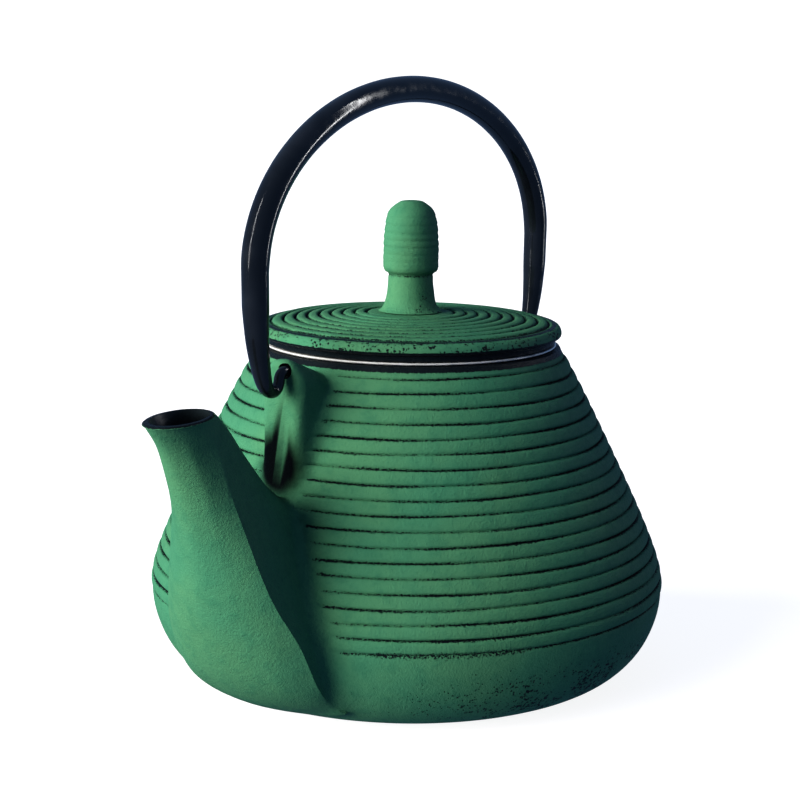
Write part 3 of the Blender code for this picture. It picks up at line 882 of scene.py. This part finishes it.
def make_bail(enamel):
    """One tapered bar, swept along its centre line with round ends."""
    hook = smooth_curve(HOOK_POINTS, 6)
    turns = np.linspace(0, math.pi, ARCH_POINTS)
    rise = BAIL_TOP_H - BAIL_WIDEST_H
    arch = np.column_stack([BAIL_HALF_WIDTH * np.cos(turns),
                            BAIL_WIDEST_H + rise * np.sin(turns), np.ones(ARCH_POINTS)])
    other = hook[::-1] * (-1, 1, 1)
    line = np.vstack([hook, arch, other])
    width = np.convolve(np.pad(line[:, 2], 4, mode="edge"), np.ones(9) / 9, mode="valid")
    along = np.gradient(line[:, :2], axis=0)
    along /= np.linalg.norm(along, axis=1)[:, None]
    across = np.stack([along[:, 1], -along[:, 0]], -1)
    sides = np.arange(BAIL_SEGMENTS) * 2 * math.pi / BAIL_SEGMENTS
    rings = []
    for (x, h, _), share, out in zip(line, width, across):
        radius = BAIL_R * share
        rings.append(np.column_stack([x + out[0] * radius * np.cos(sides), radius * np.sin(sides),
                                      HINGE_Z + h + out[1] * radius * np.cos(sides)]))
    cap = []
    for end, inner in ((rings[0], rings[1]), (rings[-1], rings[-2])):
        middle = end.mean(0)
        push = middle - inner.mean(0)
        push /= np.linalg.norm(push)
        radius = np.linalg.norm(end[0] - middle)
        cap.append([middle + (end - middle) * math.cos(a) + push * radius * 0.35 * math.sin(a)
                    for a in (0.5, 0.95, 1.35)])
    mesh = skin("bail_bar", cap[0][::-1] + rings + cap[1])
    shade_with_edges(mesh, 60)
    bail = add_object("bail_bar", mesh, (enamel,))
    return finish_piece(bail, "handle", "black_enamel", "bail_handle")


# ---------------- infuser

def wire_grid(name, points, faces, wire, material):
    """A lattice of thin wires along the edges of the given faces."""
    obj = add_object(name, make_mesh(name, points, faces, fix_normals=False), (material,))
    frame_it = obj.modifiers.new("wires", "WIREFRAME")
    frame_it.thickness = wire
    frame_it.offset = 0.0
    frame_it.use_even_offset = False
    frame_it.use_boundary = True
    apply_modifiers(obj)
    return obj


def quarter(r, z, turn_z, angles):
    """The bend of a sheet as (radius, height). turn_z is 1 up and out, -1 down and in."""
    return [(r + turn_z * SHEET_ROUND * (1 - math.cos(a)),
             z - turn_z * SHEET_ROUND * (1 - math.sin(a))) for a in angles]


def make_infuser(steel, mesh_steel):
    """The steel basket: flange with collar, mesh wall, foot ring and mesh floor."""
    top, under, foot = COLLAR_HIGH.z, COLLAR_HIGH.z - SHEET, COLLAR_LOW.z
    rim, inner = COLLAR_HIGH.x, COLLAR_R - SHEET
    ring = [(inner, foot), (inner, top - SHEET_ROUND)]
    ring += quarter(inner, top, 1, np.linspace(0.2, math.pi / 2, 6))
    ring += [(rim - 0.0003, top), (rim, top - 0.0003), (rim - 0.0003, under),
             (COLLAR_R + 0.0005, under), (COLLAR_R, under - 0.0005), (COLLAR_R, foot)]
    steel_ring("infuser_flange", ring, 192, steel, "infuser", "infuser_collar")

    wall = wire_grid("infuser_mesh_wall", *wall_lattice(), WALL_WIRE, mesh_steel)
    finish_piece(wall, "infuser", "steel_mesh", "infuser_wall")

    low, top, r = RING_LOW.z, RING_HIGH.z, RING_HIGH.x
    ring = [(r, top), (r, low + SHEET_ROUND)]
    ring += quarter(r, low, -1, np.linspace(0.3, math.pi / 2, 5))
    ring += [(FOOT_LIP_R, low), (FOOT_LIP_R, low + SHEET), (r - 0.0012, low + SHEET),
             (r - 0.0003, low + 0.0014), (r - 0.0003, top)]
    steel_ring("infuser_foot_ring", ring, 128, steel, "infuser", "infuser_base_ring")

    floor = wire_grid("infuser_mesh_floor", *floor_lattice(), FLOOR_WIRE, mesh_steel)
    finish_piece(floor, "infuser", "steel_mesh", "infuser_floor")


def wall_lattice():
    """Points and diamond faces of the basket's wall, which narrows below its bend."""
    top_r, foot_r = WALL_HIGH.x - WIRE_INSET, BASKET_FOOT_R - WIRE_INSET
    top, foot = WALL_HIGH.z, WALL_LOW.z
    points, faces = [], []
    for row in range(WALL_ROWS + 1):
        z = top + (foot - top) * row / WALL_ROWS
        share = min(max((z - foot) / (BASKET_BEND_Z - foot), 0), 1)
        r = foot_r + (top_r - foot_r) * share
        for column in range(WALL_COLUMNS):
            a = (column + 0.5 * (row % 2)) * 2 * math.pi / WALL_COLUMNS
            points.append((r * math.cos(a), r * math.sin(a), z))
    for row in range(WALL_ROWS - 1):
        here, below = row * WALL_COLUMNS, (row + 1) * WALL_COLUMNS
        for column in range(WALL_COLUMNS):
            across = column + row % 2
            faces.append((here + column, below + (across - 1) % WALL_COLUMNS,
                          below + WALL_COLUMNS + column, below + across % WALL_COLUMNS))
    return points, faces


def floor_lattice():
    """Points and square faces of the basket's floor, cut off in a circle."""
    z, reach = (FLOOR_LOW.z + FLOOR_HIGH.z) / 2, FLOOR_HIGH.x - 0.0002
    cells = int(FLOOR_HIGH.x / FLOOR_PITCH) + 1
    squares = []
    for i in range(-cells, cells):
        for j in range(-cells, cells):
            corners = [(i, j), (i + 1, j), (i + 1, j + 1), (i, j + 1)]
            if all(math.hypot(*c) * FLOOR_PITCH < reach for c in corners):
                squares.append(corners)
    used = sorted({c for corners in squares for c in corners})
    number = {c: n for n, c in enumerate(used)}
    return ([(i * FLOOR_PITCH, j * FLOOR_PITCH, z) for i, j in used],
            [tuple(number[c] for c in corners) for corners in squares])


# ---------------- materials

class Paint:
    """Adds and wires shader nodes of one material."""

    def __init__(self, name):
        self.material = bpy.data.materials.new(name)
        self.material.use_nodes = True
        self.nodes = self.material.node_tree.nodes
        self.links = self.material.node_tree.links
        self.surface = self.nodes["Principled BSDF"]
        self.place = self.nodes.new("ShaderNodeTexCoord").outputs["Object"]

    def wire(self, value, socket):
        """Link a socket, or set a plain value."""
        if isinstance(value, bpy.types.NodeSocket):
            self.links.new(value, socket)
        else:
            socket.default_value = value

    def put(self, name, value):
        self.wire(value, self.surface.inputs[name])

    def math(self, operation, a, b):
        node = self.nodes.new("ShaderNodeMath")
        node.operation = operation
        self.wire(a, node.inputs[0])
        self.wire(b, node.inputs[1])
        return node.outputs[0]

    def centred(self, value, scale):
        """A noise value moved to be about zero and scaled."""
        return self.math("MULTIPLY", self.math("SUBTRACT", value, 0.5), scale)

    def noise(self, size, detail=2.0, rough=0.5, stretch=None):
        node = self.nodes.new("ShaderNodeTexNoise")
        node.inputs["Scale"].default_value = 1 / size
        node.inputs["Detail"].default_value = detail
        node.inputs["Roughness"].default_value = rough
        self.wire(self.stretched(stretch), node.inputs["Vector"])
        return node.outputs["Fac"]

    def stretched(self, stretch):
        if stretch is None:
            return self.place
        node = self.nodes.new("ShaderNodeMapping")
        node.inputs["Scale"].default_value = stretch
        self.links.new(self.place, node.inputs["Vector"])
        return node.outputs["Vector"]

    def cells(self, size):
        node = self.nodes.new("ShaderNodeTexVoronoi")
        node.inputs["Scale"].default_value = 1 / size
        self.links.new(self.place, node.inputs["Vector"])
        return node.outputs["Distance"]

    def ramp(self, value, low, high, to_low=0.0, to_high=1.0):
        node = self.nodes.new("ShaderNodeMapRange")
        node.interpolation_type = "SMOOTHSTEP"
        for socket, item in zip(node.inputs, (value, low, high, to_low, to_high)):
            self.wire(item, socket)
        return node.outputs[0]

    def attribute(self, name):
        node = self.nodes.new("ShaderNodeAttribute")
        node.attribute_name = name
        return node.outputs["Fac"]

    def mix(self, share, a, b):
        node = self.nodes.new("ShaderNodeMix")
        node.data_type = "RGBA"
        self.wire(share, node.inputs["Factor"])
        for value, socket in ((a, node.inputs[6]), (b, node.inputs[7])):
            linked = isinstance(value, bpy.types.NodeSocket)
            self.wire(value if linked else (*value, 1.0), socket)
        return node.outputs[2]

    def bump(self, height, distance, strength=1.0):
        node = self.nodes.new("ShaderNodeBump")
        node.inputs["Strength"].default_value = strength
        node.inputs["Distance"].default_value = distance
        self.links.new(height, node.inputs["Height"])
        self.links.new(node.outputs["Normal"], self.surface.inputs["Normal"])


def green_iron():
    """Matte green sprayed over a black coat that shows in grooves, pits and worn rims, with
    painted shade in the hollow by the spout.
    """
    p = Paint("green_enamel_on_iron")
    broad = p.noise(0.035, 3)
    mottle = p.noise(0.0045, 3, 0.6)
    fine = p.noise(0.00085, 3, 0.6)
    grain = p.noise(0.00045, 2, 0.65)
    ragged = p.noise(0.0006, 3, 0.75)
    streak = p.noise(0.014, 2, 0.5)

    green = p.mix(p.ramp(broad, 0.35, 0.65), GREEN, GREEN_WARM)
    green = p.mix(p.ramp(mottle, 0.42, 0.78, 0.0, 0.40), green, GREEN_DEEP)
    green = p.mix(p.ramp(fine, 0.52, 0.80, 0.0, 0.30), green, GREEN_DEEP)
    green = p.mix(p.ramp(grain, 0.62, 0.78, 0.0, 0.30), green, GREEN_LIGHT)

    # grooves: a ragged line whose width follows slow and fine noise
    line = p.math("ADD", p.attribute("groove"), p.centred(ragged, 2.4))
    line = p.math("ADD", line, p.centred(streak, 0.6))
    in_groove = p.ramp(line, 0.62, 0.78)

    # worn rims, where the black coat is bare
    bare = p.ramp(p.math("ADD", p.attribute("bare"), p.centred(ragged, 1.0)), 0.50, 0.58)

    # casting pits of uneven size
    patch = p.ramp(p.noise(0.009, 3), 0.28, 0.55, 0.25)
    density = p.math("MULTIPLY", p.attribute("pitted"), patch)
    small = p.math("SUBTRACT", p.math("MULTIPLY", density, 0.34), p.cells(0.0013))
    flecks = p.math("ADD", p.math("MULTIPLY", density, 0.21), p.noise(0.0014, 3, 0.65))
    pits = p.math("MAXIMUM", p.ramp(small, 0.0, 0.06), p.ramp(flecks, 0.76, 0.80))

    # painted shade: the green darkens smoothly to near black inside the hollow between the front
    # lug and the spout
    thin = p.math("ADD", p.attribute("hollow_shade"), p.centred(mottle, 0.10))
    green = p.mix(p.ramp(thin, 0.05, 0.62), green, tuple(0.2 * c for c in IRON_BLACK))

    black = p.math("MAXIMUM", p.math("MAXIMUM", in_groove, bare), pits)
    p.put("Base Color", p.mix(black, green, IRON_BLACK))
    rough = p.ramp(fine, 0.3, 0.7, 0.55, 0.70)
    p.put("Roughness", p.math("SUBTRACT", rough, p.math("MULTIPLY", bare, 0.30)))
    p.put("Specular IOR Level", 0.08)

    height = p.math("ADD", p.math("MULTIPLY", fine, 0.60), p.math("MULTIPLY", grain, 0.40))
    height = p.math("ADD", height, p.math("MULTIPLY", mottle, 0.6))
    height = p.math("SUBTRACT", height, p.math("MULTIPLY", black, 0.45))
    p.bump(height, 0.00042, 0.8)
    return p.material


def black_enamel(name, colour, rough, grain_depth):
    """Gloss black enamel with a soft orange-peel surface."""
    p = Paint(name)
    peel = p.noise(0.0016, 2, 0.5)
    wave = p.noise(0.012, 2)
    lighter = tuple(c * 1.8 + 0.001 for c in colour)
    p.put("Base Color", p.mix(p.ramp(wave, 0.3, 0.7), colour, lighter))
    p.put("Roughness", p.ramp(p.noise(0.004, 3), 0.3, 0.7, rough - 0.05, rough + 0.07))
    p.put("Specular IOR Level", 0.5)
    p.bump(peel, grain_depth, 0.6)
    return p.material


def brushed_steel(name, rough, lines):
    """Pale steel. With lines, its grain runs round the axis."""
    p = Paint(name)
    turned = p.noise(0.00035, 2, 0.6, stretch=(0.06, 0.06, 1.0) if lines else None)
    wear = p.noise(0.006, 3)
    p.put("Base Color", p.mix(p.ramp(wear, 0.3, 0.7), STEEL, tuple(c * 0.82 for c in STEEL)))
    p.put("Metallic", 0.40)
    p.put("Roughness", p.ramp(turned, 0.3, 0.7, rough - 0.06, rough + 0.08))
    p.bump(turned, 0.00003, 0.5)
    return p.material


# ---------------- studio

def make_camera():
    """The camera at the photograph's viewpoint. Returns its right and backward directions."""
    data = bpy.data.cameras.new("camera")
    data.lens = CAMERA_LENS
    data.sensor_width = SENSOR
    data.clip_start = 0.01
    camera = add_object("camera", data)
    a, e, roll = CAMERA_AZIMUTH, CAMERA_ELEVATION, CAMERA_ROLL
    right = Vector((math.cos(a), math.sin(a), 0))
    back = Vector((math.cos(e) * math.sin(a), -math.cos(e) * math.cos(a), math.sin(e)))
    up = back.cross(right)
    aim = right * CAMERA_SIDE + Vector((0, 0, CAMERA_AIM_Z))
    turned_right = right * math.cos(roll) + up * math.sin(roll)
    turned_up = up * math.cos(roll) - right * math.sin(roll)
    matrix = Matrix((turned_right, turned_up, back)).transposed().to_4x4()
    matrix.translation = aim + back * CAMERA_DISTANCE
    camera.matrix_world = matrix
    bpy.context.scene.camera = camera
    return right, back


def add_strip(place, aim, width, power):
    """A narrow upright softbox that only shows as a highlight in glossy surfaces."""
    data = bpy.data.lights.new("strip", "AREA")
    data.shape = "RECTANGLE"
    data.size, data.size_y = width, STRIP_LENGTH
    data.energy = power
    strip = add_object("strip", data)
    strip.location = place
    strip.rotation_euler = (aim - place).to_track_quat("-Z", "Y").to_euler()
    strip.visible_diffuse = False


def make_studio(right, back):
    """A large soft key from the left, a cool even fill and a pale table."""
    flat_back = Vector((back.x, back.y, 0)).normalized()
    data = bpy.data.lights.new("key", "SUN")
    data.energy = KEY_STRENGTH
    data.angle = KEY_SOFTNESS
    data.color = KEY_COLOUR

    def direction(turn, rise):
        level = flat_back * math.cos(turn) - right * math.sin(turn)
        return level * math.cos(rise) + Vector((0, 0, math.sin(rise)))

    key = add_object("key", data)
    key.rotation_euler = (-direction(KEY_TURN, KEY_RISE)).to_track_quat("-Z", "Y").to_euler()
    key.visible_glossy = False
    aim = Vector((0, 0, STRIP_AIM_Z))
    for turn, rise, width, power in STRIPS:
        add_strip(aim + direction(turn, rise) * STRIP_DISTANCE, aim, width, power)

    world = bpy.data.worlds.new("studio")
    bpy.context.scene.world = world
    world.use_nodes = True
    nodes, links = world.node_tree.nodes, world.node_tree.links
    ground = nodes["Background"]
    ground.inputs["Color"].default_value = FILL_COLOUR
    ground.inputs["Strength"].default_value = FILL_STRENGTH
    seen = nodes.new("ShaderNodeBackground")
    seen.inputs["Color"].default_value = (1, 1, 1, 1)
    seen.inputs["Strength"].default_value = BACKDROP
    path = nodes.new("ShaderNodeLightPath")
    either = nodes.new("ShaderNodeMixShader")
    links.new(path.outputs["Is Camera Ray"], either.inputs[0])
    links.new(ground.outputs[0], either.inputs[1])
    links.new(seen.outputs[0], either.inputs[2])
    links.new(either.outputs[0], nodes["World Output"].inputs["Surface"])

    p = Paint("pale_floor")
    p.put("Base Color", p.mix(p.noise(0.2, 2), *FLOOR_TONES))
    p.put("Roughness", 1.0)
    p.put("IOR", 1.0)
    p.put("Emission Color", (1, 1, 1, 1))
    p.put("Emission Strength", FLOOR_GLOW)
    slab = [(0.001, FLOOR_TOP_Z), (FLOOR_R, FLOOR_TOP_Z), (FLOOR_R, -0.01), (0.001, -0.01)]
    mesh = revolve("floor", slab, 64)
    mesh.shade_flat()
    floor = add_object("floor", mesh, (p.material,))
    floor.visible_diffuse = False
    floor.visible_glossy = False
    bpy.context.scene.view_settings.view_transform = "Standard"
    bpy.context.scene.view_settings.look = "Medium High Contrast"


# ---------------- build

def build():
    """Materials, pieces and studio."""
    green = green_iron()
    enamel = black_enamel("black_enamel_gloss", ENAMEL_BLACK, 0.13, 0.00004)
    inner = black_enamel("black_enamel_inside", IRON_BLACK, 0.34, 0.00015)
    steel = brushed_steel("brushed_steel", 0.26, True)
    mesh_steel = brushed_steel("woven_steel", 0.34, False)
    make_pot(green, inner)
    make_lid(green, inner)
    make_knob(green)
    make_fixings(steel)
    make_bail(enamel)
    make_infuser(steel, mesh_steel)
    make_studio(*make_camera())


build()
